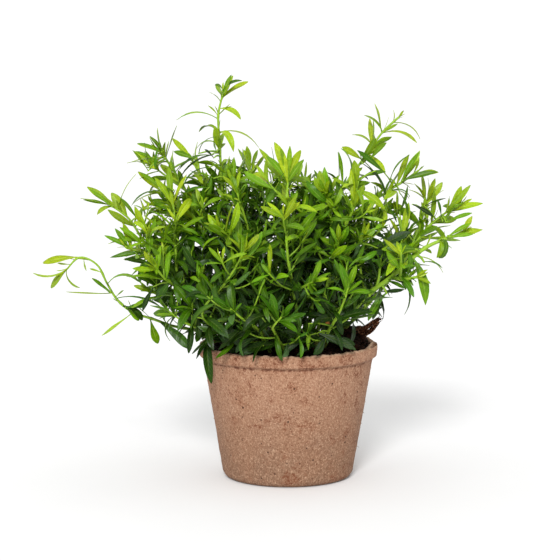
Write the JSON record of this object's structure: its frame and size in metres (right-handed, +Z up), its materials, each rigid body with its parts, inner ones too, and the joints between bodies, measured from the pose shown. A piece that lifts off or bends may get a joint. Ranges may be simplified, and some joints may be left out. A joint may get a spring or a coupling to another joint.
{
  "type": "potted herb plant",
  "caption": "Bushy narrow-leaved kitchen herb with arching leafy stems, growing from soil in a round tapered pot of pressed fibre.",
  "frame": {"origin": "centre of the pot's flat base, on the surface that it stands on", "axes": "+Z up out of the pot, -Y towards the front as pictured, +X to the right seen from the front"},
  "size_m": [0.296, 0.2075, 0.268],
  "materials": {
    "pressed_fibre": "rough",
    "potting_soil": "rough",
    "dry_root": "rough",
    "herb_leaf": "satin"
  },
  "bodies": {
    "root": {"pot": "pressed_fibre", "soil": "potting_soil", "root_stub": "dry_root", "stem_trailing_left": "herb_leaf", "stem_left_high": "herb_leaf", "stem_upper_left": "herb_leaf", "stem_tallest": "herb_leaf", "stem_front_centre": "herb_leaf", "stem_upper_right": "herb_leaf", "stem_right_middle": "herb_leaf", "stem_right_high": "herb_leaf", "stem_right_thick": "herb_leaf", "stem_right_low": "herb_leaf", "stem_front_left": "herb_leaf", "stem_left_rim": "herb_leaf", "stem_front_low_left": "herb_leaf", "stem_front_low_middle": "herb_leaf", "stem_front_low_right": "herb_leaf", "stem_back_left": "herb_leaf", "stem_back_middle_left": "herb_leaf", "stem_back_middle_right": "herb_leaf", "stem_back_right": "herb_leaf", "stem_right_back": "herb_leaf", "stem_left_back": "herb_leaf", "stem_crown_back_left": "herb_leaf", "stem_crown_back_right": "herb_leaf", "stem_crown_front_left": "herb_leaf", "stem_crown_front_right": "herb_leaf", "stem_left_front": "herb_leaf", "stem_crown_centre": "herb_leaf", "stem_back_low_left": "herb_leaf", "stem_back_low_middle": "herb_leaf", "stem_back_low_right": "herb_leaf", "stem_left_low": "herb_leaf", "stem_left_middle": "herb_leaf", "stem_crown_left": "herb_leaf", "stem_crown_right": "herb_leaf"}
  },
  "joints": []
}
